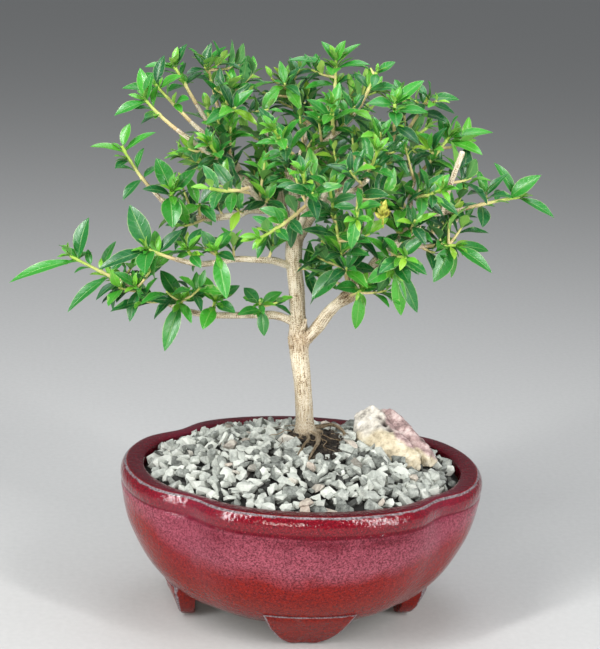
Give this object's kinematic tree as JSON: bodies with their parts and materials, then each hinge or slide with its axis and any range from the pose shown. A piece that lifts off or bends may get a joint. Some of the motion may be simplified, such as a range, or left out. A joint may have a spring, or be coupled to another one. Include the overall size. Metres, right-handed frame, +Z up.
{
  "type": "potted serissa bonsai",
  "caption": "Small flowering-tree bonsai with a bare straight trunk, an open leafy crown, a gravel top dressing and a rock, in a lobed glazed pot on bracket feet.",
  "frame": {"origin": "on the ground under the feet, at the middle of the whole plant and pot in plan", "axes": "+Z up, X along the pot's length, -Y towards the front"},
  "size_m": [0.2662, 0.161, 0.301],
  "materials": {
    "glaze": "glossy oxblood glaze",
    "screen": "matt black mesh",
    "soil": "dark crumbly bark soil",
    "gravel": "grey-green angular chips",
    "rock": "rough cream and pink rock",
    "bark": "flaky pale tan bark",
    "leaf": "glossy green leaves and green stems"
  },
  "bodies": {
    "root": {"pot": "glaze", "drain_screen_left": "screen", "drain_screen_right": "screen", "soil": "soil", "gravel": "gravel", "accent_stone": "rock", "wood": "bark", "shoot_crown_right": "leaf", "shoot_crown_top": "leaf", "shoot_dome_00": "leaf", "shoot_dome_01": "leaf", "shoot_dome_02": "leaf", "shoot_dome_03": "leaf", "shoot_dome_04": "leaf", "shoot_dome_06": "leaf", "shoot_dome_07": "leaf", "shoot_dome_08": "leaf", "shoot_dome_09": "leaf", "shoot_dome_10": "leaf", "shoot_dome_11": "leaf", "shoot_dome_12": "leaf", "shoot_dome_14": "leaf", "shoot_dome_15": "leaf", "shoot_dome_16": "leaf", "shoot_dome_17": "leaf", "shoot_dome_18": "leaf", "shoot_dome_19": "leaf", "shoot_dome_20": "leaf", "shoot_dome_21": "leaf", "shoot_dome_22": "leaf", "shoot_dome_23": "leaf", "shoot_dome_24": "leaf", "shoot_dome_27": "leaf", "shoot_dome_28": "leaf", "shoot_dome_29": "leaf", "shoot_dome_30": "leaf", "shoot_dome_31": "leaf", "shoot_fan_high": "leaf", "shoot_fan_low": "leaf", "shoot_fan_mid": "leaf", "shoot_fan_top": "leaf", "shoot_far_left": "leaf", "shoot_front_riser": "leaf", "shoot_high_left_a": "leaf", "shoot_high_left_b": "leaf", "shoot_high_left_tip": "leaf", "shoot_low_left_a": "leaf", "shoot_low_left_b": "leaf", "shoot_low_left_c": "leaf", "shoot_low_left_d": "leaf", "shoot_low_right_drop": "leaf", "shoot_low_right_inner": "leaf", "shoot_low_right_tip": "leaf", "shoot_mid_left_a": "leaf", "shoot_mid_left_b": "leaf", "shoot_mid_left_tip": "leaf", "shoot_right_back": "leaf", "shoot_right_high": "leaf", "shoot_right_tip": "leaf", "shoot_side_high": "leaf"}
  },
  "joints": []
}
